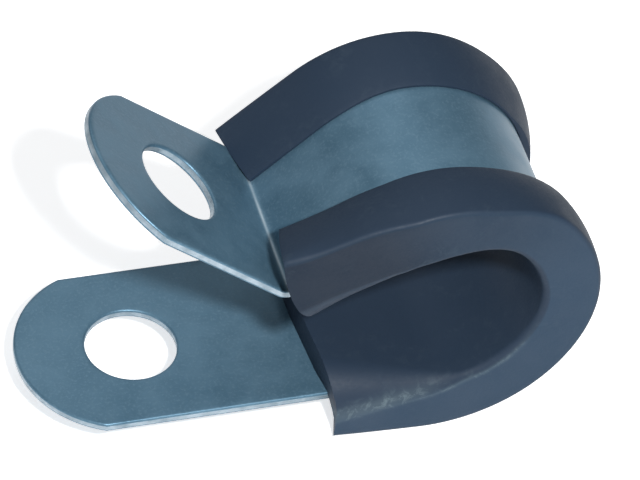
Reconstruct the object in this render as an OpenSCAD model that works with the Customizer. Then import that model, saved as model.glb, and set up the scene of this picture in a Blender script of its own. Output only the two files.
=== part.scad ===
// Rubber-lined P clip for cables and pipes up to 12 mm, in its sprung-open state.
// Frame: the origin is the centre of the lower bolt hole on the tab's underside, +X runs
// towards the loop, +Y along the cable and +Z up out of the lower tab. All sizes are in mm.

/* [Steel band] */
// Width of the band along the cable
band_w = 12; // [9:0.5:20]
// Thickness of the steel sheet
sheet_t = 0.6; // [0.4:0.05:1]
// Inside radius of the sharp fold under the upper tab
fold_r = 0.5; // [0.3:0.1:1.2]

/* [Bolt tabs] */
// Diameter of both bolt holes, clearance for an M5 bolt
hole_d = 5.5; // [4:0.1:6.5]
// Extra radius of the rounded tab ends over half the band's width
tab_end_extra = 0.5; // [0.1:0.1:2]
// How far the centre of the end radius lies beyond the hole's centre
tab_end_shift = 0.5; // [0:0.1:1.5]
// Lower hole's centre to the end of the lining
hole_to_lining = 10.5; // [8:0.1:20]
// Upper hole's centre to the fold line
hole_to_fold = 7; // [5:0.1:15]
// Angle that the upper tab stands up from the lower tab
tab_rise = 39.7; // [10:0.1:55]

/* [Loop] */
// Diameter of the seat inside the open loop's rubber, a little under the cable's own
seat_d = 11; // [8:0.5:18]
// Angle that the lower run dips below the lower tab
dip_angle = 5.5; // [2:0.5:10]
// Mid-plane radius of the dip's gentle bend
dip_r = 8; // [4:1:15]
// Straight run between the dip and the loop
lower_run = 4.7; // [2:0.1:12]
// Run from the loop down to the fold line
upper_run = 5.7; // [3:0.1:12]
// Slope of the upper run above the lower tab
run_slope = 41.8; // [15:0.1:50]

/* [Rubber lining] */
// Thickness of the pad inside the band
pad_t = 1.8; // [0.8:0.1:3]
// Rubber beyond each edge of the band
wall_t = 1.55; // [1:0.05:3]
// Height of the lips above the band
lip_h = 1.2; // [0.9:0.05:2.5]
// Reach of the lips over the band, from its edge to their free edge
lip_reach = 2.5; // [1:0.1:3.5]
// Radius of the lips' domed top
lip_crown_r = 11; // [8:0.5:30]
// Radius of the lips' long outer corners
lip_corner_r = 0.3; // [0.1:0.05:0.6]
// Radius of the pad's long inner corners
pad_corner_r = 0.5; // [0.2:0.1:1.2]
// Assembly gap between the steel and the rubber
lining_gap = 0.04; // [0:0.01:0.1]

/* [Hidden] */
$fn = 64;
// Every bend runs this far into the straights beside it, and its section is smaller all
// round by the inset, so that the legs overlap cleanly and fuse into one solid.
seam = 0.04;
band_inset = 0.004;
lining_inset = 0.015;

loop_r = seat_d / 2 + pad_t + lining_gap + sheet_t / 2;
fold_mid_r = fold_r + sheet_t / 2;
fold_turn = tab_rise + run_slope;
loop_turn = 180 + run_slope + dip_angle;
// The fold's arc takes this much off the straight on each side of the fold line.
fold_trim = fold_mid_r * tan(fold_turn / 2);

// The band's mid-plane from the lower tab to the upper one: each leg is [radius, turn] for
// a bend, where a negative turn bends away from the cable, or [length, 0] for a straight.
lined_legs = [
    [dip_r, -dip_angle],
    [lower_run, 0],
    [loop_r, loop_turn],
    [upper_run - fold_trim, 0],
];
fold_leg = [fold_mid_r, -fold_turn];
start_pose = [[hole_to_lining, sheet_t / 2], 0];

// Unit vectors along a heading and at right angles to it, on the side away from the cable
function along(heading) = [cos(heading), sin(heading)];
function outward(heading) = [sin(heading), -cos(heading)];

// Pose [[x, z], heading] at the far end of one leg
function next_pose(pose, leg) =
    leg[1] == 0
        ? [pose[0] + leg[0] * along(pose[1]), pose[1]]
        : let (side = sign(leg[1]) * leg[0], heading = pose[1] + leg[1])
          [pose[0] + side * (outward(heading) - outward(pose[1])), heading];

// Pose at the start of the leg with the given number
function pose_at(legs, number) =
    number == 0 ? start_pose : next_pose(pose_at(legs, number - 1), legs[number - 1]);

// Sweeps a section along a straight leg. Sections have +X away from the cable.
module straight(pose, length) {
    translate([pose[0][0], 0, pose[0][1]])
        rotate([0, 90 - pose[1], 0])
            linear_extrude(height = length)
                children();
}

// Sweeps a section round a bend leg, and a seam's length past both of its ends.
module bend(pose, radius, turn) {
    side = sign(turn);
    centre = pose[0] - side * radius * outward(pose[1]);
    past = seam / radius * 180 / PI;
    first = (side > 0 ? pose[1] - 90 : pose[1] + 90 + turn) - past;
    translate([centre[0], 0, centre[1]])
        rotate([90, -first, 0])
            rotate_extrude(angle = abs(turn) + 2 * past)
                translate([radius, 0])
                    mirror([side > 0 ? 0 : 1, 0])
                        children();
}

// Flat tab that starts on the band's end face: X points at the free end.
module tab(hole_x) {
    end_x = hole_x + tab_end_shift;
    end_r = band_w / 2 + tab_end_extra;
    linear_extrude(height = sheet_t, center = true)
        difference() {
            intersection() {
                translate([0, -band_w / 2])
                    square([end_x + end_r, band_w]);
                union() {
                    translate([end_x, 0])
                        circle(r = end_r);
                    translate([0, -band_w])
                        square([end_x, 2 * band_w]);
                }
            }
            translate([hole_x, 0])
                circle(d = hole_d);
        }
}

module band_section(inset) {
    square([sheet_t - 2 * inset, band_w - 2 * inset], center = true);
}

// The lining's section: a pad, two side walls and two domed lips round the band's slot
module lining_section(inset) {
    half_w = band_w / 2 + wall_t - inset;
    slot_x = sheet_t / 2 + lining_gap + inset;
    slot_y = band_w / 2 + lining_gap + inset;
    pad_x = -slot_x - pad_t + 2 * inset;
    pad_round = [pad_x + pad_corner_r, half_w - pad_corner_r];
    top_x = sheet_t / 2 + lip_h - inset;
    lip_round = [top_x - lip_corner_r, half_w - lip_corner_r];
    lip_y = band_w / 2 - lip_reach + inset;
    difference() {
        for (side = [0, 1])
            mirror([0, side]) {
                translate([pad_x, 0])
                    square([-pad_x, pad_round[1]]);
                translate([pad_round[0], 0])
                    square([-pad_round[0], half_w]);
                translate(pad_round)
                    circle(r = pad_corner_r);
                intersection() {
                    translate([top_x - lip_crown_r, lip_round[1]])
                        circle(r = lip_crown_r);
                    translate([-slot_x / 2, lip_y])
                        square([2 * lip_h, lip_round[1] - lip_y]);
                }
                translate([-slot_x / 2, slot_y])
                    square([lip_round[0] + slot_x / 2, half_w - slot_y]);
                translate(lip_round)
                    circle(r = lip_corner_r);
            }
        square([2 * slot_x, 2 * slot_y], center = true);
    }
}

module band() {
    fold_pose = pose_at(lined_legs, len(lined_legs));
    tab_pose = next_pose(fold_pose, fold_leg);
    color([0.50, 0.56, 0.60]) {
        translate([start_pose[0][0], 0, start_pose[0][1]])
            rotate([0, 180, 0])
                tab(hole_to_lining);
        for (number = [0 : len(lined_legs) - 1]) {
            leg = lined_legs[number];
            pose = pose_at(lined_legs, number);
            if (leg[1] == 0)
                straight(pose, leg[0]) band_section(0);
            else
                bend(pose, leg[0], leg[1]) band_section(band_inset);
        }
        bend(fold_pose, fold_leg[0], fold_leg[1]) band_section(band_inset);
        translate([tab_pose[0][0], 0, tab_pose[0][1]])
            rotate([0, -tab_pose[1], 0])
                tab(hole_to_fold - fold_trim);
    }
}

module rubber_lining() {
    color([0.16, 0.19, 0.25])
        for (number = [0 : len(lined_legs) - 1]) {
            leg = lined_legs[number];
            pose = pose_at(lined_legs, number);
            if (leg[1] == 0)
                straight(pose, leg[0]) lining_section(0);
            else
                bend(pose, leg[0], leg[1]) lining_section(lining_inset);
        }
}

band();
rubber_lining();
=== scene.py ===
"""Rubber-lined P clip: the visual model, its finishes, and the studio it stands in.

Lengths inside the classes are in millimetres, as in the part's own source, and become
metres when a mesh is made. The strip is described by two numbers on its middle surface:
the run along the strip from the lower hole's centre, and the distance across it.
"""

import logging
import math
from dataclasses import dataclass, field
from enum import Enum

import bmesh
import bpy
import numpy as np
from mathutils import Matrix, Vector


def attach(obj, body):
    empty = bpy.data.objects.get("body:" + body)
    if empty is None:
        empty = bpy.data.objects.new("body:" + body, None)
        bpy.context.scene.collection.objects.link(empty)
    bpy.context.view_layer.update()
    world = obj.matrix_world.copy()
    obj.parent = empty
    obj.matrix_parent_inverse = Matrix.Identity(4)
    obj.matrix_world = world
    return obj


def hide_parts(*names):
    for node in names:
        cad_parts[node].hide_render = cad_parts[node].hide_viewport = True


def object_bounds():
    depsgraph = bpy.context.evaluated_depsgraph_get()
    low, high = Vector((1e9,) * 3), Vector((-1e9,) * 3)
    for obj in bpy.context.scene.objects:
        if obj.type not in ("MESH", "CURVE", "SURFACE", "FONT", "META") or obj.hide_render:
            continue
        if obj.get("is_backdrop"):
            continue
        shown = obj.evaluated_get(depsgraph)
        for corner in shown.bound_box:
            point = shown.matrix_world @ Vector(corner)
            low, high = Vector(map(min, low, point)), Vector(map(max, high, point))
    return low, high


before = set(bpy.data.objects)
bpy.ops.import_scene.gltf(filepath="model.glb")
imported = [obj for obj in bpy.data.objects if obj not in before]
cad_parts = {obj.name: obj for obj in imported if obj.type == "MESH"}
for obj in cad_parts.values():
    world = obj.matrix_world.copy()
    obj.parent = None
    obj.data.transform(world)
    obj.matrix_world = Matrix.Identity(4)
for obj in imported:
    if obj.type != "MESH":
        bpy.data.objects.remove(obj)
CAD_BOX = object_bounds()

logging.basicConfig(level=logging.INFO, format="%(message)s")
log = logging.getLogger("p_clip")

MM = 0.001
Array = np.ndarray


# ---------------------------------------------------------------- shared geometry


class Bend(Enum):
    """Which way a leg of the strip turns, seen with the loop's inside on the left."""

    NONE = 0
    IN = 1
    OUT = -1


@dataclass(frozen=True)
class Leg:
    """One leg of the strip: a straight, or an arc on the strip's middle surface."""

    length: float
    bend: Bend = Bend.NONE
    radius: float = 1.0

    @staticmethod
    def arc(radius: float, degrees: float, bend: Bend) -> "Leg":
        """Return the arc leg that turns through the given angle."""
        return Leg(radius * math.radians(degrees), bend, radius)


@dataclass(frozen=True)
class StripRoute:
    """The path of the strip's middle surface in the plane across the cable.

    Slopes and angles are in degrees. The lengths from the loop to the fold and from the
    fold to the upper hole are taken to the fold's corner, before it is rounded.
    """

    sheet: float = 0.6
    hole_to_lining: float = 10.5
    dip_radius: float = 8.0
    dip: float = 5.5
    lower_run: float = 4.7
    loop_radius: float = 7.64
    run_slope: float = 41.8
    loop_to_fold: float = 5.7
    fold_radius: float = 0.8
    tab_rise: float = 39.7
    fold_to_hole: float = 7.0
    hole_to_end: float = 7.0

    @property
    def setback(self) -> float:
        """Return how far the fold's arc starts before its corner, which is its radius
        times the tangent of half its turn."""
        return self.fold_radius * math.tan(math.radians(self.tab_rise + self.run_slope) / 2)

    @property
    def legs(self) -> list[Leg]:
        """Return the legs in order, from the lower hole to the upper tab's end."""
        return [
            Leg(self.hole_to_lining),
            Leg.arc(self.dip_radius, self.dip, Bend.OUT),
            Leg(self.lower_run),
            Leg.arc(self.loop_radius, 180 + self.run_slope + self.dip, Bend.IN),
            Leg(self.loop_to_fold - self.setback),
            Leg.arc(self.fold_radius, self.tab_rise + self.run_slope, Bend.OUT),
            Leg(self.fold_to_hole - self.setback + self.hole_to_end),
        ]

    @property
    def marks(self) -> Array:
        """Return the run at the start of every leg and at the end of the last."""
        return np.concatenate([[0.0], np.cumsum([leg.length for leg in self.legs])])

    @property
    def lining_start(self) -> float:
        """Return the run at which the lining starts, where the lower tab ends."""
        return float(self.marks[1])

    @property
    def loop_start(self) -> float:
        """Return the run at which the round loop starts."""
        return float(self.marks[3])

    @property
    def loop_end(self) -> float:
        """Return the run at which the round loop ends."""
        return float(self.marks[4])

    @property
    def fold_start(self) -> float:
        """Return the run at which the sharp fold starts and the lining ends."""
        return float(self.marks[5])

    @property
    def fold_middle(self) -> float:
        """Return the run in the middle of the sharp fold."""
        return float(self.marks[5] + self.marks[6]) / 2

    @property
    def upper_hole(self) -> float:
        """Return the run of the upper hole's centre."""
        return float(self.marks[-1]) - self.hole_to_end

    @property
    def upper_heading(self) -> float:
        """Return the heading of the straight leg before the fold, in radians."""
        return math.radians(180 + self.run_slope)

    def _turns(self) -> tuple[Array, Array, Array, Array]:
        """Work out where each leg starts.

        A leg's heading changes by its curvature times its length. Its end lies off its
        start as `at` says.

        Returns:
            The legs' start x, start z, start heading and curvature, one array each.
        """
        x, z, heading = [0.0], [self.sheet / 2], [0.0]
        curve = []
        for leg in self.legs:
            k = leg.bend.value / leg.radius
            h0, h1 = heading[-1], heading[-1] + k * leg.length
            if k:
                x.append(x[-1] + (math.sin(h1) - math.sin(h0)) / k)
                z.append(z[-1] - (math.cos(h1) - math.cos(h0)) / k)
            else:
                x.append(x[-1] + leg.length * math.cos(h0))
                z.append(z[-1] + leg.length * math.sin(h0))
            heading.append(h1)
            curve.append(k)
        return tuple(np.array(v) for v in (x[:-1], z[:-1], heading[:-1], curve))

    def at(self, run: Array) -> tuple[Array, Array, Array]:
        """Return the point and heading at each run.

        On a straight the point moves by the run times the heading's direction; on an arc
        it moves by the difference of the two headings' sines and cosines over the
        curvature. Runs before the first leg carry on straight back.

        Args:
            run: distances along the strip from the lower hole's centre.

        Returns:
            x, z and heading, in millimetres and radians, shaped like run.
        """
        x0, z0, h0, curve = self._turns()
        marks = self.marks
        leg = np.clip(np.searchsorted(marks, run, side="right") - 1, 0, len(curve) - 1)
        step = run - marks[leg]
        k = curve[leg]
        flat = k == 0
        safe = np.where(flat, 1.0, k)
        h = h0[leg] + k * step
        dx = np.where(flat, step * np.cos(h0[leg]), (np.sin(h) - np.sin(h0[leg])) / safe)
        dz = np.where(flat, step * np.sin(h0[leg]), (np.cos(h0[leg]) - np.cos(h)) / safe)
        return x0[leg] + dx, z0[leg] + dz, h

    def place(self, run: Array, across: Array, out: Array) -> Array:
        """Return points in space for places on or off the strip's middle surface.

        A point is the route's point at its run, moved by `across` along the cable and by
        `out` along the outward normal, which is the heading turned a quarter clockwise.

        Args:
            run: distances along the strip.
            across: distances along the cable from the middle plane.
            out: heights over the middle surface, away from the cable.

        Returns:
            An array of points with a last axis of three, in millimetres.
        """
        run, across, out = np.broadcast_arrays(run, across, out)
        x, z, h = self.at(run)
        return np.stack([x + out * np.sin(h), across, z - out * np.cos(h)], axis=-1)


@dataclass(frozen=True)
class Settle:
    """How the upper end of the clip sits: turned a little about the fold's middle.

    The turn, in degrees, fades in along the loop from a quarter turn after its start to
    the fold, so the open clip's upper tab stands slightly out of square with the lower
    one.
    """

    route: StripRoute
    roll: float = 1.39
    skew: float = 0.20
    pitch: float = -1.91

    def move(self, run: Array, points: Array) -> Array:
        """Return points moved with the upper end.

        Each point is turned about the fold's middle by a rotation vector and is blended
        with its first place by a smooth step of its run. The vector has its parts along
        the strip, along the strip's outward normal and along the cable.

        Args:
            run: the run of every point.
            points: places in millimetres, with a last axis of three.

        Returns:
            The moved places.
        """
        start = self.route.loop_start + self.route.loop_radius * math.radians(90)
        slope = self.route.upper_heading
        along = np.array([math.cos(slope), 0, math.sin(slope)])
        outward = np.array([math.sin(slope), 0, -math.cos(slope)])
        vector = np.radians(
            self.roll * along + self.skew * outward + self.pitch * np.array([0, 1, 0])
        )
        middle = self.route.place(np.array(self.route.fold_middle), 0, 0)
        turn = np.array(Matrix.Rotation(np.linalg.norm(vector), 3, Vector(vector)))
        turned = (points - middle) @ turn.T + middle
        share = smooth_step(run, start, self.route.fold_start)[..., None]
        return points * (1 - share) + turned * share


def grid_faces(rows: int, columns: int, wrap: bool = False) -> Array:
    """Return the quads of a grid of points numbered row by row.

    Args:
        rows: number of rows of points.
        columns: number of points in a row.
        wrap: whether the last column joins the first.

    Returns:
        Quads as an integer array of four columns.
    """
    last = columns if wrap else columns - 1
    row, column = np.meshgrid(np.arange(rows - 1), np.arange(last), indexing="ij")
    beside = (column + 1) % columns
    here, above = row * columns, (row + 1) * columns
    corners = (here + column, here + beside, above + beside, above + column)
    return np.stack([corner.ravel() for corner in corners], axis=1)


def smooth_step(value: Array, start: float, end: float) -> Array:
    """Return 0 before start, 1 after end and the usual cubic between them."""
    t = np.clip((value - start) / (end - start), 0.0, 1.0)
    return t * t * (3 - 2 * t)


def make_mesh(
    name: str,
    points: Array,
    faces: Array,
    shares: "dict[str, Array] | None" = None,
    weld: float = 1e-4,
) -> bpy.types.Object:
    """Make an object at the origin from points in millimetres.

    Args:
        name: the object's name.
        points: vertex places, one row each.
        faces: quads, one row each.
        shares: values from 0 to 1 at the vertices, kept as attributes of these names.
        weld: how near two points lie, in millimetres, to be made one.

    Returns:
        The new object, linked into the scene, with its normals turned outwards.
    """
    mesh = bpy.data.meshes.new(name)
    mesh.from_pydata((points * MM).tolist(), [], faces.tolist())
    for key, share in (shares or {}).items():
        layer = mesh.attributes.new(key, "FLOAT", "POINT")
        layer.data.foreach_set("value", np.ascontiguousarray(share, dtype=np.float32).ravel())
    build = bmesh.new()
    build.from_mesh(mesh)
    bmesh.ops.remove_doubles(build, verts=build.verts, dist=weld * MM)
    bmesh.ops.dissolve_degenerate(build, edges=build.edges, dist=weld * MM / 10)
    bmesh.ops.recalc_face_normals(build, faces=build.faces)
    build.to_mesh(mesh)
    build.free()
    piece = bpy.data.objects.new(name, mesh)
    bpy.context.scene.collection.objects.link(piece)
    return piece


# ---------------------------------------------------------------- finishes


class Arithmetic(Enum):
    """How a material's values are joined."""

    ADD = "ADD"
    MULTIPLY = "MULTIPLY"
    MAXIMUM = "MAXIMUM"


class NodeBoard:
    """A short way to write a material's nodes."""

    def __init__(self, name: str) -> None:
        """Start a material of that name with an empty principled shader."""
        self.material = bpy.data.materials.new(name)
        self.material.use_nodes = True
        self.tree = self.material.node_tree
        self.shader = self.tree.nodes["Principled BSDF"]

    def node(self, kind: str, **values: object) -> bpy.types.Node:
        """Add a node.

        Args:
            kind: the node's type name without its leading ShaderNode.
            **values: properties of the node, or default values of its inputs. An
                input's name is written with underscores in place of its spaces.

        Returns:
            The node.
        """
        made = self.tree.nodes.new("ShaderNode" + kind)
        for key, value in values.items():
            if hasattr(made, key):
                setattr(made, key, value)
            else:
                made.inputs[key.replace("_", " ")].default_value = value
        return made

    def join(self, start: bpy.types.NodeSocket, end: bpy.types.NodeSocket) -> None:
        """Link two sockets."""
        self.tree.links.new(start, end)

    def place(self, scale: tuple[float, float, float]) -> bpy.types.NodeSocket:
        """Add coordinates that are fixed to the piece.

        Args:
            scale: what the coordinates are multiplied by along each axis.

        Returns:
            Object coordinates, in metres, times the scale.
        """
        mapping = self.node("Mapping")
        mapping.inputs["Scale"].default_value = scale
        self.join(self.node("TexCoord").outputs["Object"], mapping.inputs["Vector"])
        return mapping.outputs["Vector"]

    def noise(
        self,
        scale: float,
        detail: float = 4.0,
        rough: float = 0.55,
        stretch: tuple[float, float, float] = (1, 1, 1),
        distort: float = 0.0,
    ) -> bpy.types.NodeSocket:
        """Return a noise from 0 to 1 about a mean of one half.

        Args:
            scale: how many of its largest lumps fit in a metre, roughly.
            detail: how many finer layers it has.
            rough: how strong each finer layer is beside the one before.
            stretch: the scale of the coordinates along each axis.
            distort: how much it is swirled.

        Returns:
            The noise's value.
        """
        made = self.node(
            "TexNoise", Scale=scale, Detail=detail, Roughness=rough, Distortion=distort
        )
        self.join(self.place(stretch), made.inputs["Vector"])
        return made.outputs["Fac"]

    def ramp(
        self, value: bpy.types.NodeSocket, low: float, high: float, start: float, end: float
    ) -> bpy.types.NodeSocket:
        """Carry a value evenly from one range to another, and clamp it there.

        Args:
            value: the value.
            low: what it becomes at start and before.
            high: what it becomes at end and after.
            start: where the change starts.
            end: where the change ends.

        Returns:
            The carried value.
        """
        made = self.node("MapRange", clamp=True)
        for key, number in (
            ("From Min", start),
            ("From Max", end),
            ("To Min", low),
            ("To Max", high),
        ):
            made.inputs[key].default_value = number
        self.join(value, made.inputs["Value"])
        return made.outputs["Result"]

    def attribute(self, name: str) -> bpy.types.NodeSocket:
        """Return the piece's own attribute of that name."""
        return self.node("Attribute", attribute_name=name).outputs["Fac"]

    def combine(
        self, *terms: bpy.types.NodeSocket, mode: Arithmetic = Arithmetic.ADD
    ) -> bpy.types.NodeSocket:
        """Join values in order by one kind of arithmetic.

        Args:
            *terms: the values.
            mode: the arithmetic.

        Returns:
            The joined value.
        """
        total = terms[0]
        for term in terms[1:]:
            made = self.node("Math", operation=mode.value)
            self.join(total, made.inputs[0])
            self.join(term, made.inputs[1])
            total = made.outputs[0]
        return total

    def blend(
        self,
        factor: bpy.types.NodeSocket,
        first: "bpy.types.NodeSocket | tuple[float, float, float]",
        second: "bpy.types.NodeSocket | tuple[float, float, float]",
    ) -> bpy.types.NodeSocket:
        """Mix two colours.

        Args:
            factor: how far to go from the first to the second, from 0 to 1.
            first: a colour, or a socket that gives one.
            second: the same.

        Returns:
            The mixed colour.
        """
        made = self.node("Mix", data_type="RGBA")
        self.join(factor, made.inputs["Factor"])
        colour_in = [s for s in made.inputs if s.type == "RGBA"]
        for socket, colour in zip(colour_in, (first, second)):
            if isinstance(colour, tuple):
                socket.default_value = (*colour, 1.0)
            else:
                self.join(colour, socket)
        return [s for s in made.outputs if s.type == "RGBA"][0]

    def bump(self, *layers: tuple[bpy.types.NodeSocket, float, float]) -> None:
        """Stack bump layers on the shader.

        Args:
            *layers: for each layer its height, its strength and its depth in metres.
        """
        normal = None
        for height, strength, depth in layers:
            made = self.node("Bump", Strength=strength, Distance=depth)
            self.join(height, made.inputs["Height"])
            if normal is not None:
                self.join(normal, made.inputs["Normal"])
            normal = made.outputs["Normal"]
        self.join(normal, self.shader.inputs["Normal"])


@dataclass(frozen=True)
class PlatedSteel:
    """Zinc-plated steel sheet: a cool grey-blue satin with duller clouds, pale specks and
    faint rolling lines, and a painted highlight, a pale line along the fold, where the
    crease attribute says."""

    base: tuple[float, float, float] = (0.110, 0.208, 0.287)
    dull: tuple[float, float, float] = (0.078, 0.160, 0.228)
    pale: tuple[float, float, float] = (0.165, 0.272, 0.352)
    # colour of the painted highlight along the fold
    scuff_and_sheen: tuple[float, float, float] = (0.42, 0.52, 0.58)
    metallic: float = 0.40
    specular: float = 0.3

    def build(self, name: str) -> bpy.types.Material:
        """Make the sheet's face material.

        Args:
            name: the material's name.

        Returns:
            The material.
        """
        board = NodeBoard(name)
        cloud = board.noise(420.0, 5.0, 0.6, distort=0.3)
        speck = board.noise(5200.0, 3.0, 0.6)
        rolling = board.noise(900.0, 4.0, 0.6, stretch=(0.12, 1.6, 0.12))
        shade = board.blend(board.ramp(cloud, 0.0, 1.0, 0.34, 0.66), self.dull, self.base)
        shade = board.blend(board.ramp(speck, 0.0, 0.45, 0.50, 0.72), shade, self.pale)
        shade = board.blend(board.ramp(rolling, 0.0, 0.25, 0.55, 0.8), shade, self.dull)
        # painted highlight: a pale line blended in along the fold, where the crease attribute
        # says
        shade = board.blend(board.attribute("crease"), shade, self.scuff_and_sheen)
        board.join(shade, board.shader.inputs["Base Color"])
        rough = board.combine(
            board.ramp(cloud, 0.34, 0.46, 0.35, 0.65),
            board.ramp(speck, -0.03, 0.05, 0.35, 0.7),
        )
        board.join(rough, board.shader.inputs["Roughness"])
        board.shader.inputs["Metallic"].default_value = self.metallic
        board.shader.inputs["Specular IOR Level"].default_value = self.specular
        board.bump((speck, 0.25, 2.0e-5), (rolling, 0.15, 3.0e-5), (cloud, 0.25, 1.0e-4))
        return board.material


@dataclass(frozen=True)
class ShearedEdge:
    """The sheet's cut edges: duller bare steel, with fine lines and small nicks."""

    bright: tuple[float, float, float] = (0.36, 0.44, 0.50)
    dark: tuple[float, float, float] = (0.20, 0.27, 0.32)
    rough: float = 0.38
    metallic: float = 0.45

    def build(self, name: str) -> bpy.types.Material:
        """Make the edge's material.

        Args:
            name: the material's name.

        Returns:
            The material.
        """
        board = NodeBoard(name)
        grain = board.noise(900.0, 4.0, 0.55)
        nicks = board.noise(3800.0, 2.0, 0.5)
        shade = board.blend(board.ramp(grain, 0.0, 1.0, 0.36, 0.62), self.dark, self.bright)
        board.join(shade, board.shader.inputs["Base Color"])
        rough = board.ramp(nicks, self.rough - 0.05, self.rough + 0.12, 0.3, 0.7)
        board.join(rough, board.shader.inputs["Roughness"])
        board.shader.inputs["Metallic"].default_value = self.metallic
        board.bump((grain, 0.15, 3.0e-5), (nicks, 0.1, 1.0e-5))
        return board.material


@dataclass(frozen=True)
class MouldedRubber:
    """Extruded blue-black rubber: satin, faintly pitted, with painted shade darkening all but
    the side walls, deeper painted shade on the walls near the upper end, and pale scuffs
    with a painted sheen on the lower front corner."""

    base: tuple[float, float, float] = (0.025, 0.051, 0.088)
    # colour of the painted shade on the lips, the pad and the bore
    skin: tuple[float, float, float] = (0.019, 0.034, 0.059)
    # colour of the deeper painted shade on the walls near the upper end
    painted_wall_shade: tuple[float, float, float] = (0.007, 0.014, 0.027)
    # pale colour of scuffs, of faint random tone, and of the painted sheen on the lower front
    # corner
    scuff_and_sheen_colour: tuple[float, float, float] = (0.120, 0.165, 0.190)
    specular: float = 0.22

    def build(self, name: str) -> bpy.types.Material:
        """Make the lining's material.

        Args:
            name: the material's name.

        Returns:
            The material.
        """
        board = NodeBoard(name)
        cloud = board.noise(330.0, 4.0, 0.6)
        pits = board.noise(6500.0, 2.0, 0.5)
        drag = board.noise(1500.0, 5.0, 0.7, distort=0.6)
        # painted shade: the skin attribute darkens all but the side walls
        shade = board.blend(board.attribute("skin"), self.base, self.skin)
        # painted shade: the walls grow darker towards the upper end
        shade = board.blend(board.attribute("painted_wall_shade"), shade, self.painted_wall_shade)
        faint = board.combine(
            board.ramp(cloud, 0.0, 0.35, 0.45, 0.75),
            board.ramp(drag, 0.0, 0.4, 0.50, 0.72),
            mode=Arithmetic.MULTIPLY,
        )
        # scuffs and a painted sheen on the lower front corner, broken up by the drag noise
        scuff_and_sheen = board.combine(
            board.attribute("scuff_and_sheen_share"),
            board.ramp(drag, 0.35, 1.0, 0.50, 0.66),
            mode=Arithmetic.MULTIPLY,
        )
        shade = board.blend(board.combine(faint, scuff_and_sheen), shade, self.scuff_and_sheen_colour)
        board.join(shade, board.shader.inputs["Base Color"])
        rough = board.combine(
            board.ramp(cloud, 0.52, 0.64, 0.35, 0.65), board.ramp(pits, -0.04, 0.06, 0.3, 0.7)
        )
        board.join(rough, board.shader.inputs["Roughness"])
        board.shader.inputs["Specular IOR Level"].default_value = self.specular
        board.bump((pits, 0.25, 2.0e-5), (drag, 0.12, 4.0e-5), (cloud, 0.25, 1.2e-4))
        return board.material


# ---------------------------------------------------------------- the steel band


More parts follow.
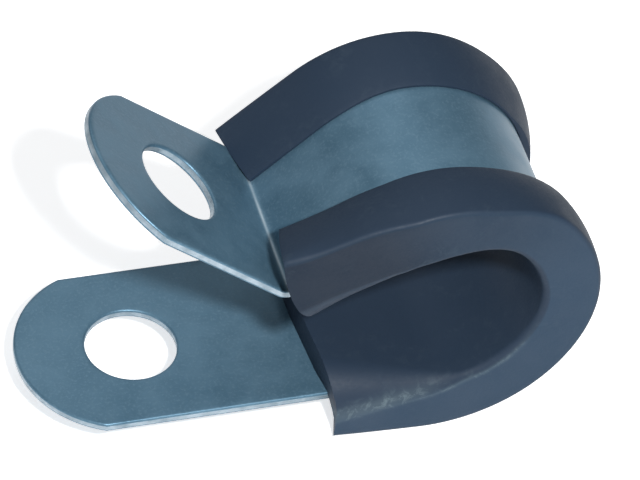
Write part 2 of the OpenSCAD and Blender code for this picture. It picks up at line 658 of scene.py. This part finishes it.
@dataclass
class SteelBand:
    """The bent strip: two holed tabs with round ends, the loop and the sharp fold.

    Each tab is a fan of quads round its hole, which meets the strip's own grid on a
    straight line `tab_grid` from the hole's centre.
    """

    route: StripRoute
    settle: Settle
    width: float = 12.0
    hole_radius: float = 2.75
    end_radius: float = 6.5
    end_shift: float = 0.5
    upper_end_shift: float = 0.3
    tab_grid: float = 4.6
    across_steps: int = 16
    ring_steps: int = 12
    side_steps: int = 12
    end_steps: int = 40
    leg_steps: tuple[int, ...] = (14, 5, 9, 110, 10, 24, 8)
    rounding: float = 0.15
    # width of the painted highlight along the fold
    fold_highlight_width: float = 0.13
    face: PlatedSteel = field(default_factory=PlatedSteel)
    edge: ShearedEdge = field(default_factory=ShearedEdge)

    def _tab_angles(self, shift: float) -> Array:
        """Return the angles about a hole at which the tab's grid has its spokes.

        Zero points at the loop. The spokes meet the grid's inner line at even steps
        across the strip, and one spoke runs to each corner of the outline.

        Args:
            shift: how far the end circle's centre lies past the hole's centre.

        Returns:
            The angles in order, once round the hole.
        """
        half = self.width / 2
        across = np.linspace(-half, half, self.across_steps + 1)
        front = np.arctan2(across, self.tab_grid)
        meet = shift + math.sqrt(self.end_radius**2 - half**2)
        corner = math.atan2(half, -meet)
        side = np.linspace(front[-1], corner, self.side_steps + 1)[1:]
        end = np.linspace(corner, 2 * math.pi - corner, self.end_steps + 1)[1:]
        return np.concatenate([front, side, end, 2 * math.pi - side[-2::-1]])

    def _tab_reach(self, angle: Array, shift: float) -> Array:
        """Return how far the tab's outline lies from the hole's centre at each angle.

        The outline is the nearest of three things met by the spoke: the grid's inner
        line, the strip's edge, and the end circle, whose distance is the root of the
        usual quadratic for a line from inside a circle.

        Args:
            angle: the spokes' angles.
            shift: how far the end circle's centre lies past the hole's centre.

        Returns:
            The spokes' lengths.
        """
        c, s = np.cos(angle), np.sin(angle)
        tiny = 1e-9
        line = np.where(c > tiny, self.tab_grid / np.maximum(c, tiny), np.inf)
        edge = self.width / 2 / np.maximum(np.abs(s), tiny)
        along = -shift * c
        circle = along + np.sqrt(along**2 + self.end_radius**2 - shift**2)
        circle = np.where(c < 0, circle, np.inf)
        return np.minimum(np.minimum(line, edge), circle)

    def _tab(self, hole_run: float, towards: float, shift: float) -> tuple[Array, Array]:
        """Return a tab's middle surface between its hole and its outline.

        A point at ring fraction t lies on its spoke at (1 - t) times the hole's radius
        plus t times the outline's reach.

        Args:
            hole_run: the run of the hole's centre.
            towards: 1 if the loop lies at greater runs, -1 if at smaller ones.
            shift: how far the end circle's centre lies past the hole's centre.

        Returns:
            Points as (run, across), and quads.
        """
        angle = self._tab_angles(shift)
        reach = self._tab_reach(angle, shift)
        part = np.linspace(0, 1, self.ring_steps + 1)[:, None]
        radius = (1 - part) * self.hole_radius + part * reach[None, :]
        run = hole_run + towards * radius * np.cos(angle)
        across = radius * np.sin(angle)
        flat = np.stack([run.ravel(), across.ravel()], axis=1)
        return flat, grid_faces(self.ring_steps + 1, len(angle), wrap=True)

    def _stations(self) -> Array:
        """Space the cross lines between the tabs, closer on tight bends.

        Returns:
            Their runs in order, from one tab's grid to the other's.
        """
        marks = self.route.marks
        first, last = self.tab_grid, self.route.upper_hole - self.tab_grid
        lines = []
        for start, end, count in zip(marks[:-1], marks[1:], self.leg_steps):
            lo, hi = max(start, first), min(end, last)
            lines.append(np.linspace(lo, hi, count, endpoint=False))
        return np.concatenate([*lines, [last]])

    def build(self) -> bpy.types.Object:
        """Make the band.

        Returns:
            The band as one closed piece, its cut edges in a material of their own.
        """
        lower, lower_faces = self._tab(0.0, 1.0, self.end_shift)
        upper, upper_faces = self._tab(self.route.upper_hole, -1.0, self.upper_end_shift)
        across = np.linspace(-self.width / 2, self.width / 2, self.across_steps + 1)
        runs = self._stations()
        run, wide = np.meshgrid(runs, across, indexing="ij")
        strip = np.stack([run.ravel(), wide.ravel()], axis=1)
        strip_faces = grid_faces(len(runs), len(across))
        flat = np.concatenate([lower, upper, strip])
        faces = np.concatenate(
            [
                lower_faces,
                upper_faces + len(lower),
                strip_faces + len(lower) + len(upper),
            ]
        )
        points = self.route.place(flat[:, 0], flat[:, 1], np.zeros(len(flat)))
        points = self.settle.move(flat[:, 0], points)
        # the crease attribute holds the painted highlight along the fold
        share = {"crease": self._painted_fold_highlight(flat[:, 0], flat[:, 1])}
        piece = make_mesh("steel_band", points, faces, share, weld=1e-3)
        self._finish(piece)
        return piece

    def _painted_fold_highlight(self, run: Array, across: Array) -> Array:
        """Mark where a highlight is painted on the sheet, a thin pale line along the fold.

        The line is a bell curve of the run about the fold's middle, and waxes and wanes
        across the strip as a squared sine.

        Args:
            run: the points' runs.
            across: the points' distances from the middle plane.

        Returns:
            How bright each point is, from 0 to 1.
        """
        line = np.exp(-(((run - self.route.fold_middle) / self.fold_highlight_width) ** 2))
        return 0.85 * line * (0.55 + 0.45 * np.sin(across * 0.9 + 1.2) ** 2)

    def _finish(self, piece: bpy.types.Object) -> None:
        """Give the sheet its thickness, its slightly rounded cut edges and its finishes.

        Args:
            piece: the band's middle surface.
        """
        solid = piece.modifiers.new("sheet", "SOLIDIFY")
        solid.thickness = self.route.sheet * MM
        solid.offset = 0.0
        solid.use_even_offset = True
        solid.material_offset_rim = 1
        soft = piece.modifiers.new("cut_edges", "BEVEL")
        soft.width = self.rounding * MM
        soft.segments = 3
        soft.limit_method = "ANGLE"
        soft.angle_limit = math.radians(50)
        soft.material = 0
        piece.data.materials.append(self.face.build("plated_steel"))
        piece.data.materials.append(self.edge.build("sheared_steel_edge"))
        piece.data.shade_smooth()
        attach(piece, "root")
        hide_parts("band")


# ---------------------------------------------------------------- the rubber lining


class Side(Enum):
    """The two sides of the lining along the cable."""

    FRONT = -1
    BACK = 1


@dataclass(frozen=True)
class Span:
    """A stretch of the loop between two angles, in degrees.

    An angle is that of the loop's outward normal from +X. A change of the section that
    fades in does so from the first angle to the second. One that comes and goes is
    whole at the first and gone at the second, on both sides of the first.
    """

    start: float
    end: float


@dataclass(frozen=True)
class Rise:
    """How the front wall or its lip lifts: the whole height, where, and how sharply.

    The share of the height is a power of the run over the span.
    """

    height: float
    span: Span
    power: float


@dataclass(frozen=True)
class EndCuts:
    """The lining's two crooked end cuts, as shifts of the run.

    At the upper end the cut runs on a little under the pad and at the back, and falls
    short at the front lip, which has ridden up. At the lower end the pad runs on a
    little, least at the front, and the front wall and lip begin later.
    """

    upper_pad: float = 0.35
    upper_front: float = -1.38
    upper_power: float = 1.7
    back_slope: float = 0.126
    back_level: float = 3.5
    back_short: float = 0.04
    lower_pad: float = -0.55
    lower_slope: float = -0.065
    lower_level: float = 0.6
    lower_late: float = 0.15
    wall_slope: float = 0.4

    def upper(self, out: Array, across: Array) -> Array:
        """Return the upper cut's shift at each point of the section.

        At the back it changes evenly across. At the front the inner part of the section
        takes up the shortfall in a step, and the side wall as a power of its height.

        Args:
            out: heights over the strip's middle surface.
            across: distances along the cable from the middle plane.

        Returns:
            The shift, which is positive where the lining runs on.
        """
        slant = self.back_slope * (across - self.back_level) - self.back_short
        back = self.upper_pad + slant * smooth_step(out, -0.6, 0.6)
        short = self.upper_front - self.upper_pad
        inner = short * smooth_step(out, -0.3, 0.5)
        outer = short * np.clip((out + 0.3) / 3.8, 0, 1) ** self.upper_power
        wall = smooth_step(-across, 6.3, 7.2)
        front = self.upper_pad + inner * (1 - wall) + outer * wall
        return np.where(across > 0, back, front)

    def lower(self, out: Array, across: Array, half: float) -> Array:
        """Return the lower cut's shift at each point of the section.

        Args:
            out: heights over the strip's middle surface.
            across: distances along the cable from the middle plane.
            half: half of the lining's width.

        Returns:
            The shift, which goes from the pad's to the wall's and lip's with height.
        """
        deep = smooth_step(out, -0.3, 0.3)
        late = self.lower_late + self.wall_slope * (half + across) * deep
        late = np.where(across < 0, late, 0)
        edge = smooth_step(-across, 4.0, 7.5)
        front_wall = smooth_step(out, -2.2, 0.0) * (edge + (1 - edge) * deep)
        back_wall = smooth_step(out, -2.2, 0.0) * deep
        wall = np.where(across < 0, front_wall, back_wall)
        early = self.lower_pad + self.lower_slope * np.minimum(across, self.lower_level)
        return early * (1 - wall) + late * wall


@dataclass
class RubberLining:
    """The extruded channel round the loop: pad, side walls and two domed lips.

    The section changes a little along the run, as on a lining bent from a straight
    length: the lips stand lower over the top of the loop, the front wall rides up at the
    upper end and lifts its lip off the band, and the pad's corners are rounder towards
    both cut ends.
    """

    route: StripRoute
    settle: Settle

    # the plain section, its clearance from the band, and the least rubber over the slot
    band_width: float = 12.0
    pad: float = 1.8
    wall: float = 1.55
    lip_reach: float = 2.5
    lip_height: float = 1.70
    lip_fall: float = 0.64
    dome: float = 0.16
    lip_corner: float = 0.3
    gap: float = 0.04
    thinnest: float = 0.15

    # the pad's corners, and how much rounder they are at the two cut ends
    pad_corner: float = 0.45
    start_corner: float = 2.4
    start_corner_reach: float = 8.5
    start_corner_power: float = 1.1
    end_corner: float = 1.9
    end_corner_power: float = 1.2

    # both lips: lower past the start and again over the loop's top, and where each
    # differs at the loop's side
    side_drop: float = 0.27
    top_drop: float = 0.46
    top_drop_span: Span = Span(0, 85)
    bulge_span: Span = Span(18, 78)

    # the back lip
    back_flat: float = 0.22
    back_end_rise: float = 0.15
    back_dip: float = 0.28
    back_dip_span: Span = Span(45, 85)
    back_tilt: float = 0.22
    back_short: float = 0.08
    back_spread: float = 0.42
    back_spread_span: Span = Span(92, 128)

    # the front wall and lip
    front_bulge: float = 0.10
    front_free_bulge: float = 0.55
    front_sink: float = 0.85
    front_sink_span: Span = Span(45, 78)
    front_ride: Rise = Rise(2.6, Span(106, 158), 1.25)
    front_lift: Rise = Rise(2.45, Span(112, 169.4), 1.5)
    front_lean: float = 0.45
    ridden_roof: float = 1.8
    lifted_roof: float = 1.75
    front_hem: float = 0.70
    hem_in_span: Span = Span(50, 112)
    hem_out_span: Span = Span(118, 158)

    # the pad: thinner at the loop's side, thicker over its top
    side_thin: float = 0.4
    side_thin_span: Span = Span(-50, 10)
    top_thick: float = 0.24
    top_thick_in_span: Span = Span(40, 90)
    top_thick_out_span: Span = Span(100, 128)

    # how many points each part of half the section has, and how many sections there are;
    # the outer line and the inner line have the same number, so that the ends can close
    dome_points: int = 15
    lip_turn_points: int = 6
    wall_points: int = 11
    pad_turn_points: int = 12
    base_points: int = 12
    roof_points: int = 21
    cheek_points: int = 11
    bed_points: int = 24
    stations: int = 200

    cuts: EndCuts = field(default_factory=EndCuts)
    rounding: float = 0.12
    rubber: MouldedRubber = field(default_factory=MouldedRubber)

    @property
    def half_width(self) -> float:
        """Return half of the lining's width."""
        return self.band_width / 2 + self.wall

    @property
    def slot_out(self) -> float:
        """Return how far the slot's faces lie from the strip's middle surface."""
        return self.route.sheet / 2 + self.gap

    @property
    def slot_across(self) -> float:
        """Return how far the slot's side faces lie from the middle plane."""
        return self.band_width / 2 + self.gap

    def _angle_run(self, degrees: float) -> float:
        """Return the run at which the loop's outward normal has this angle from +X."""
        turned = math.radians(degrees + 90 + self.route.dip)
        return self.route.loop_start + self.route.loop_radius * turned

    def _fade(self, run: Array, span: Span) -> Array:
        """Return 0 before the span, 1 after it and a smooth step between."""
        return smooth_step(run, self._angle_run(span.start), self._angle_run(span.end))

    def _hump(self, run: Array, span: Span) -> Array:
        """Return a hump: a smooth step of the distance from its middle, turned over.

        Args:
            run: the stations' runs.
            span: the hump's middle, and its end on one side.

        Returns:
            1 at the middle, and 0 past the end on both sides.
        """
        middle = self._angle_run(span.start)
        off = np.abs(run - middle) / (self._angle_run(span.end) - middle)
        return 1 - smooth_step(off, 0, 1)

    def _near_end(self, run: Array) -> Array:
        """Return a smooth step over the straight run between the loop and the fold."""
        return smooth_step(run, self.route.loop_end - 0.6, self.route.fold_start)

    def _lifted(self, run: Array, side: Side, rise: Rise) -> Array:
        """Return the share of a rise that is reached at each run.

        The run is taken where the front lip's cut leaves it, and the share is nought at
        the back.

        Args:
            run: the stations' runs, as a column.
            side: which side of the lining.
            rise: the rise.

        Returns:
            The share, from 0 to 1.
        """
        if side is Side.BACK:
            return np.zeros_like(run)
        here = run + self.cuts.upper_front * self._near_end(run)
        low, high = self._angle_run(rise.span.start), self._angle_run(rise.span.end)
        return np.clip((here - low) / (high - low), 0, 1) ** rise.power

    def _lip_heights(self, run: Array, side: Side) -> tuple[Array, Array]:
        """Return the lip's outer height over the strip's middle surface.

        Args:
            run: the stations' runs, as a column.
            side: which side of the lining.

        Returns:
            The height at the lip's outer corner, and at its free edge.
        """
        route = self.route
        drop = self.side_drop * smooth_step(run, route.lining_start, route.loop_start + 4)
        height = route.sheet / 2 + self.lip_height - drop
        over_top = self.top_drop * self._fade(run, self.top_drop_span)
        bulge = self._hump(run, self.bulge_span)
        if side is Side.BACK:
            end = smooth_step(run, route.loop_end - 2, route.fold_start)
            corner = height - over_top + self.back_end_rise * end - self.back_flat * bulge
            corner = corner - self.back_dip * self._hump(run, self.back_dip_span)
            free = corner - self.lip_fall - self.back_tilt * (1 - bulge)
            return corner, np.maximum(free, self.slot_out + self.thinnest)
        corner = height + self.front_bulge * bulge
        corner = corner - self.front_sink * self._fade(run, self.front_sink_span)
        corner = corner + self.front_ride.height * self._lifted(run, side, self.front_ride)
        free = height - over_top - self.lip_fall + self.front_free_bulge * bulge
        free = free + self.front_lift.height * self._lifted(run, side, self.front_lift)
        return corner, free

    def _free_across(self, run: Array, side: Side) -> Array:
        """Return how far from the middle plane the lip's free edge lies.

        Args:
            run: the stations' runs, as a column.
            side: which side of the lining.

        Returns:
            The distance. The back lip reaches further in over the end of the loop.
        """
        free = np.full_like(run, self.band_width / 2 - self.lip_reach)
        if side is Side.BACK:
            free = free + self.back_short
            free = free - self.back_spread * self._fade(run, self.back_spread_span)
        return free

    def _pad_radius(self, run: Array) -> Array:
        """Return the radius of the pad's corners, which grows towards the cut ends.

        Args:
            run: the stations' runs, as a column.

        Returns:
            The least radius plus a power of how near each end is, times what it adds.
        """
        route = self.route
        start = 1 - np.clip((run - route.lining_start) / self.start_corner_reach, 0, 1)
        end_reach = route.fold_start - route.loop_end + 1.0
        end = np.clip((run - route.fold_start) / end_reach + 1, 0, 1)
        radius = self.pad_corner + self.start_corner * start**self.start_corner_power
        return radius + self.end_corner * end**self.end_corner_power

    def _pad_face(self, run: Array) -> Array:
        """Return where the pad's inner face lies from the strip's middle surface.

        Args:
            run: the stations' runs, as a column.

        Returns:
            The height, which is negative because the pad is on the cable's side.
        """
        top = self._fade(run, self.top_thick_in_span)
        side = self._fade(run, self.side_thin_span) - top
        thick = self.top_thick * (top - self._fade(run, self.top_thick_out_span))
        return -self.slot_out - self.pad + self.side_thin * side - thick

    def _hem(self, run: Array, side: Side) -> Array:
        """Return how far the front wall hangs below the pad's face over the loop's top.

        Args:
            run: the stations' runs, as a column.
            side: which side of the lining.

        Returns:
            The distance, which fades in over one span and out over another.
        """
        if side is Side.BACK:
            return np.zeros_like(run)
        gone = 1 - self._fade(run, self.hem_out_span)
        return self.front_hem * self._fade(run, self.hem_in_span) * gone

    def _outer_line(self, run: Array, side: Side) -> Array:
        """Return the outer line of half the section at every station.

        It runs from the lip's free edge over the dome, round the lip's corner, down the
        side wall, round the pad's corner and in to the middle plane. The dome is the
        straight line from the free edge to the corner plus a parabola that is nought at
        both. Where the front wall has ridden up, its top leans in over the band.

        Args:
            run: the stations' runs, as a column.
            side: which side of the lining.

        Returns:
            Points as (out, across), with one row for each station.
        """
        top, edge = self._lip_heights(run, side)
        free = self._free_across(run, side)
        radius = self._pad_radius(run)
        pad_face, hem = self._pad_face(run), self._hem(run, side)
        pad_edge = pad_face - hem + radius
        lean = self.front_lean * self._lifted(run, side, self.front_ride)
        half = self.half_width
        crown = half - self.lip_corner - lean

        part = np.linspace(0, 1, self.dome_points)[None, :]
        dome = edge + (top - edge) * part + 4 * self.dome * part * (1 - part)
        dome_across = free + (crown - free) * part

        turn = np.radians(np.linspace(90, 0, self.lip_turn_points + 1))[None, 1:]
        lip = top - self.lip_corner * (1 - np.sin(turn))
        lip_across = crown + self.lip_corner * np.cos(turn)

        down = np.linspace(0, 1, self.wall_points + 1)[None, 1:]
        wall = (top - self.lip_corner) * (1 - down) + pad_edge * down
        wall_across = half - lean * (1 - down)

        turn = np.radians(np.linspace(0, 90, self.pad_turn_points + 1))[None, 1:]
        pad = pad_edge - radius * np.sin(turn)
        pad_across = half - radius * (1 - np.cos(turn))

        inward = np.linspace(1, 0, self.base_points + 1)[None, 1:]
        base = pad_face - hem * smooth_step(inward, 0.5, 1)
        base_across = (half - radius) * inward

        out = np.hstack([dome, lip, wall, pad, base])
        across = np.hstack([dome_across, lip_across, wall_across, pad_across, base_across])
        return np.stack([out, across], axis=-1)

    def _inner_line(self, run: Array, side: Side) -> Array:
        """Return the slot's line of half the section at every station.

        It runs under the lip from its free edge, down the slot's side and in along the
        pad's bed. Where the front wall has ridden up, the slot's roof lifts with it.

        Args:
            run: the stations' runs, as a column.
            side: which side of the lining.

        Returns:
            Points as (out, across), with one row for each station.
        """
        free = self._free_across(run, side)
        ridden = self.ridden_roof * self._lifted(run, side, self.front_ride)
        lifted = self.lifted_roof * self._lifted(run, side, self.front_lift)

        part = np.linspace(1, 0, self.roof_points)[None, :]
        roof = self.slot_out + ridden * (1 - part) + lifted * part
        roof_across = self.slot_across + (free - self.slot_across) * part

        step = np.linspace(0, 1, self.cheek_points + 1)[None, 1:]
        cheek = roof[:, -1:] * (1 - step) - self.slot_out * step
        cheek_across = np.full_like(cheek, self.slot_across)

        bed_across = np.linspace(self.slot_across, 0, self.bed_points + 1)[None, 1:]
        bed_across = np.repeat(bed_across, len(run), axis=0)
        bed = np.full_like(bed_across, -self.slot_out)

        out = np.hstack([roof, cheek, bed])
        across = np.hstack([roof_across, cheek_across, bed_across])
        return np.stack([out, across], axis=-1)

    def _skew(self, run: Array, out: Array, across: Array) -> Array:
        """Move the section's points along the strip by the two end cuts.

        Both shifts fade out before the loop.

        Args:
            run: the stations' runs, as a column.
            out: the points' heights over the strip's middle surface.
            across: the points' distances from the middle plane.

        Returns:
            The points' runs.
        """
        lining_start = self.route.lining_start
        near_start = 1 - smooth_step(run, lining_start, lining_start + 6)
        upper = self.cuts.upper(out, across) * self._near_end(run)
        return run + upper + self.cuts.lower(out, across, self.half_width) * near_start

    def _carry(self, run: Array, section: Array) -> Array:
        """Place the section's points in space, going on straight past the last leg.

        Args:
            run: the points' runs.
            section: the points as (out, across).

        Returns:
            Places in millimetres, with a last axis of three.
        """
        last = self.route.fold_start - 1e-6
        slope = self.route.upper_heading
        along = np.array([math.cos(slope), 0, math.sin(slope)])
        points = self.route.place(np.minimum(run, last), section[..., 1], section[..., 0])
        return points + np.maximum(run - last, 0)[..., None] * along

    def _section(self, run: Array) -> tuple[Array, int]:
        """Return the closed section at every station.

        It goes along the outer line from the back lip to the front lip, and returns
        along the slot.

        Args:
            run: the stations' runs, as a column.

        Returns:
            Points as (out, across), and how many of them lie on the outer line.
        """
        back, front = (np.array([1.0, side.value]) for side in (Side.BACK, Side.FRONT))
        lines = []
        for line in (self._outer_line, self._inner_line):
            first = line(run, Side.BACK) * back
            second = line(run, Side.FRONT) * front
            lines.append(np.concatenate([first, second[:, -2::-1]], axis=1))
        outer, inner = lines
        return np.concatenate([outer, inner[:, ::-1]], axis=1), outer.shape[1]

    def build(self) -> bpy.types.Object:
        """Make the lining by carrying its changing section along the strip's route.

        Returns:
            The lining as one closed piece.
        """
        start, end = self.route.lining_start, self.route.fold_start
        run = np.linspace(start, end, self.stations)[:, None]
        section, outer_count = self._section(run)
        runs = self._skew(run, section[..., 0], section[..., 1])
        points = self.settle.move(runs, self._carry(runs, section))
        count = section.shape[1]
        skin = grid_faces(self.stations, count, wrap=True)
        pair = np.arange(outer_count - 1)
        cap = np.stack([pair, pair + 1, count - 2 - pair, count - 1 - pair], axis=1)
        faces = np.concatenate([skin, cap, cap + (self.stations - 1) * count])
        wall = self._wall_share(count)
        # the first share is painted shade on all but the side walls, the second deeper painted
        # shade on the walls near the upper end, the third pale scuffs with a painted sheen on
        # the lower front corner
        shares = {
            "skin": (1 - wall) * np.ones_like(run),
            "painted_wall_shade": wall * self._painted_wall_shade(run),
            "scuff_and_sheen_share": self._scuff_and_sheen_share(run, section),
        }
        piece = make_mesh("rubber_channel", points.reshape(-1, 3), faces, shares)
        self._finish(piece)
        return piece

    def _wall_share(self, count: int) -> Array:
        """Return how much each point of the closed section belongs to a side wall.

        Args:
            count: how many points the section has.

        Returns:
            One row, rising over the lip's corner and falling at the pad's.
        """
        corner = np.linspace(0, 1, self.lip_turn_points)
        rest = np.zeros(self.pad_turn_points - 2 + self.base_points)
        half = np.concatenate(
            [np.zeros(self.dome_points), corner, np.ones(self.wall_points), [0.6, 0.2], rest]
        )
        line = np.concatenate([half, half[-2::-1]])
        return np.concatenate([line, np.zeros(count - len(line))])[None, :]

    def _painted_wall_shade(self, run: Array) -> Array:
        """Return the walls' painted shade, from 0 at the loop's side to 0.9 at its end."""
        side = self._fade(run, Span(10, 80))
        return 0.45 * (side + self._fade(run, Span(80, 135)))

    def _scuff_and_sheen_share(self, run: Array, section: Array) -> Array:
        """Return where the lining is scuffed pale, with a painted sheen on the lower corner.

        A patch of scuffs and painted sheen lies on the front corner at the lower end, just
        above the crease where the front wall turns in to the pad, and a thin line of scuffs
        runs on along the crease. Both are bell curves of the height about their middles.

        Args:
            run: the stations' runs, as a column.
            section: the points as (out, across).

        Returns:
            How scuffed each point is, from 0 to 1.
        """
        out, across = section[..., 0], section[..., 1]
        start = self.route.lining_start
        crease = self._pad_radius(run) - self.slot_out - self.pad
        # painted sheen with scuffs on the lower front corner, above the crease
        patch = np.exp(-(((out - crease + 0.45) / 0.45) ** 2)) * smooth_step(-across, 5.6, 7.2)
        patch = patch * (1 - smooth_step(run, start + 3.0, start + 8.0))
        line = np.exp(-(((out - crease) / 0.14) ** 2)) * (across < -7.3)
        line = line * (1 - self._fade(run, Span(-60, 0)))
        return np.maximum(patch, 0.7 * line)

    def _finish(self, piece: bpy.types.Object) -> None:
        """Ease the cut ends and free edges, and dress the rubber.

        Args:
            piece: the lining.
        """
        soft = piece.modifiers.new("eased_edges", "BEVEL")
        soft.width = self.rounding * MM
        soft.segments = 3
        soft.limit_method = "ANGLE"
        soft.angle_limit = math.radians(45)
        piece.data.materials.append(self.rubber.build("moulded_rubber"))
        piece.data.shade_smooth()
        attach(piece, "root")
        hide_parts("rubber_lining")


# ---------------------------------------------------------------- studio


@dataclass(frozen=True)
class Lamp:
    """One soft square lamp, placed round the clip and turned at it. Its angles are in
    degrees, its side and its distance in metres and its power in watts."""

    name: str
    azimuth: float
    elevation: float
    size: float
    power: float
    distance: float = 0.22

    def build(self, target: Vector) -> None:
        """Make the lamp.

        Args:
            target: where it looks.
        """
        data = bpy.data.lights.new(self.name, "AREA")
        data.shape, data.size = "SQUARE", self.size
        data.energy = self.power
        lamp = bpy.data.objects.new(self.name, data)
        a, e = math.radians(self.azimuth), math.radians(self.elevation)
        away = Vector((math.sin(a) * math.cos(e), -math.cos(a) * math.cos(e), math.sin(e)))
        lamp.location = target + away * self.distance
        lamp.rotation_euler = away.to_track_quat("Z", "Y").to_euler()
        bpy.context.scene.collection.objects.link(lamp)


@dataclass
class Studio:
    """Pale floor, soft lamps and the camera.

    The camera's angles are in degrees. Its line of sight passes aside of and above the
    lower hole by two lengths that are measured across that line. The floor's size and
    drop are in metres.
    """

    azimuth: float = -21.43
    elevation: float = 45.69
    roll: float = 7.74
    distance: float = 351.6
    aside: float = 11.223
    above: float = 6.180
    eye_height: float = 0.6
    sensor: float = 36.0
    lens: float = 333.388
    floor_size: float = 6.0
    floor_drop: float = 0.00002
    floor_colour: tuple[float, float, float] = (0.86, 0.87, 0.88)
    floor_glow: float = 0.68
    sky_colour: tuple[float, float, float] = (0.93, 0.96, 1.0)
    sky_strength: float = 0.20
    lamps: tuple[Lamp, ...] = (
        Lamp("key", -6, 50, 0.016, 0.54),
        Lamp("side_fill", -75, 35, 0.20, 0.035),
        Lamp("top_back", 178, 50, 0.12, 0.045),
    )

    def camera(self) -> None:
        """Make the camera, turned about its own axis by the roll."""
        a, e, t = (math.radians(v) for v in (self.azimuth, self.elevation, self.roll))
        back = Vector((math.sin(a) * math.cos(e), -math.cos(a) * math.cos(e), math.sin(e)))
        level = Vector((math.cos(a), math.sin(a), 0))
        rise = back.cross(level)
        right = math.cos(t) * level + math.sin(t) * rise
        up = -math.sin(t) * level + math.cos(t) * rise
        spot = right * self.aside + up * self.above + back * self.distance
        spot += Vector((0, 0, self.eye_height))
        data = bpy.data.cameras.new("camera")
        data.sensor_width = self.sensor
        data.lens = self.lens
        data.clip_start, data.clip_end = 0.01, 10.0
        camera = bpy.data.objects.new("camera", data)
        turn = Matrix((right, up, back)).transposed().to_4x4()
        camera.matrix_world = Matrix.Translation(spot * MM) @ turn
        bpy.context.scene.collection.objects.link(camera)
        bpy.context.scene.camera = camera

    def floor(self) -> None:
        """Make the floor just under the finished clip. It glows where it is seen, directly
        or in a reflection, so that it looks white, and gives the clip no light."""
        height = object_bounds()[0].z - self.floor_drop
        bpy.ops.mesh.primitive_plane_add(size=self.floor_size, location=(0, 0, height))
        plane = bpy.context.object
        plane.name = "studio_floor"
        board = NodeBoard("studio_floor")
        board.shader.inputs["Base Color"].default_value = (*self.floor_colour, 1)
        board.shader.inputs["Roughness"].default_value = 0.9
        path = board.node("LightPath")
        seen = board.combine(
            path.outputs["Is Camera Ray"],
            path.outputs["Is Glossy Ray"],
            path.outputs["Is Transmission Ray"],
            mode=Arithmetic.MAXIMUM,
        )
        glow = board.ramp(seen, 0.0, self.floor_glow, 0.0, 1.0)
        board.shader.inputs["Emission Color"].default_value = (1, 1, 1, 1)
        board.join(glow, board.shader.inputs["Emission Strength"])
        plane.data.materials.append(board.material)
        plane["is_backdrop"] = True

    def light(self, target: Vector) -> None:
        """Make the sky, which is plain white where it is seen, and the lamps.

        Args:
            target: where the lamps look.
        """
        world = bpy.data.worlds.new("studio")
        bpy.context.scene.world = world
        world.use_nodes = True
        nodes, links = world.node_tree.nodes, world.node_tree.links
        back = nodes["Background"]
        back.inputs["Color"].default_value = (*self.sky_colour, 1)
        path = nodes.new("ShaderNodeLightPath")
        seen = nodes.new("ShaderNodeMath")
        seen.operation = "MAXIMUM"
        links.new(path.outputs["Is Camera Ray"], seen.inputs[0])
        links.new(path.outputs["Is Transmission Ray"], seen.inputs[1])
        strength = nodes.new("ShaderNodeMapRange")
        strength.inputs["To Min"].default_value = self.sky_strength
        strength.inputs["To Max"].default_value = 1.0
        links.new(seen.outputs[0], strength.inputs["Value"])
        links.new(strength.outputs["Result"], back.inputs["Strength"])
        for lamp in self.lamps:
            lamp.build(target)

    def build(self, low: Vector, high: Vector) -> None:
        """Make all of it round the object's box.

        Args:
            low: the box's lowest corner.
            high: its highest corner.
        """
        self.camera()
        self.floor()
        self.light((low + high) / 2)
        bpy.context.scene.view_settings.view_transform = "Standard"


def main() -> None:
    """Build the clip and the studio, and report each piece."""
    route = StripRoute()
    settle = Settle(route)
    for piece in (SteelBand(route, settle).build(), RubberLining(route, settle).build()):
        log.info("%s: %d faces", piece.name, len(piece.data.polygons))
    Studio().build(*CAD_BOX)


if __name__ == "__main__":
    main()
